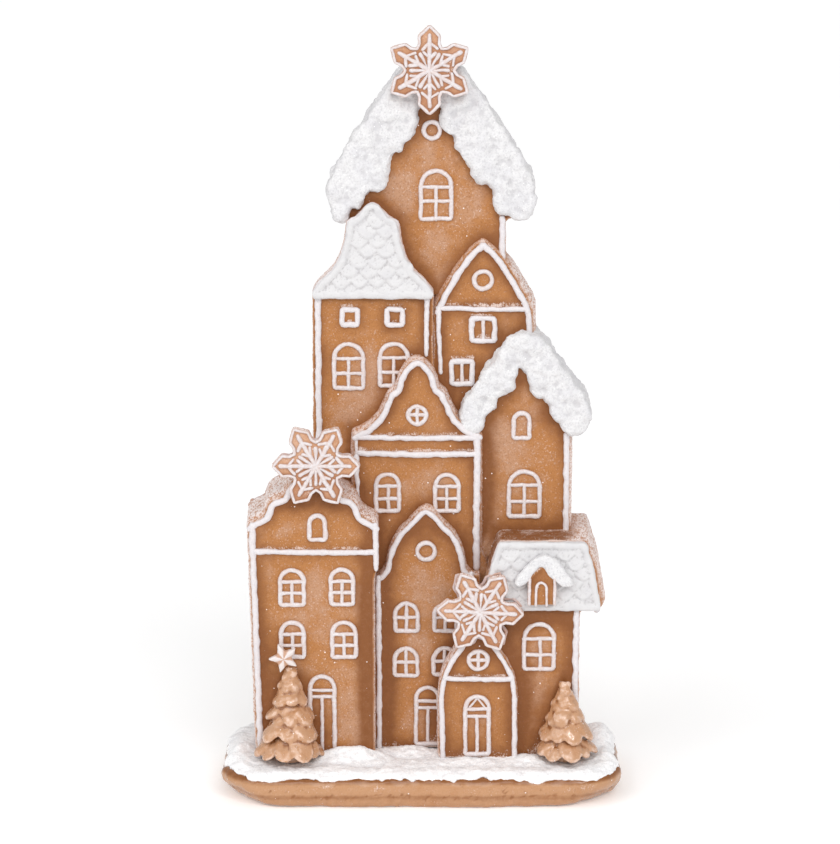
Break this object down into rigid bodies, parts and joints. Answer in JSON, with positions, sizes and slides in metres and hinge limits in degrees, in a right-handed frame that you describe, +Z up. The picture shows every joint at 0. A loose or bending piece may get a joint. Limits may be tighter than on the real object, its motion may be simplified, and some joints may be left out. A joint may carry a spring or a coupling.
{
  "type": "gingerbread house",
  "caption": "Tall stack of gabled gingerbread house fronts with white icing, snowy roofs, snowflake biscuits and fir trees on an oval snow-covered tray.",
  "frame": {"origin": "middle of the tray's flat underside", "axes": "+Z up, the fronts face -Y, +X to the viewer's right"},
  "size_m": [0.213, 0.098, 0.4035],
  "materials": {
    "biscuit": "matte brown gingerbread with darker hollows and pale sugar dust",
    "snow_icing": "matte white lumpy snow icing",
    "white_tiles": "satin white icing tiles",
    "tree_biscuit": "satin light brown gingerbread",
    "icing": "satin white piped icing"
  },
  "bodies": {
    "root": {"tray": "biscuit", "tray_snow": "snow_icing", "house_top": "biscuit", "house_upper_left": "biscuit", "tiles_upper_left": "white_tiles", "house_upper_right": "biscuit", "house_bell_gable": "biscuit", "house_tower": "biscuit", "house_front_left": "biscuit", "house_front_middle": "biscuit", "house_front_right": "biscuit", "tiles_front_right": "white_tiles", "chapel": "biscuit", "dormer": "biscuit", "snow_roof_top": "snow_icing", "snow_roof_tower": "snow_icing", "snow_roof_dormer": "snow_icing", "snowflake_top": "biscuit", "snowflake_left": "biscuit", "snowflake_middle": "biscuit", "fir_tree_left": "tree_biscuit", "fir_tree_right": "tree_biscuit", "star": "biscuit"}
  },
  "joints": []
}
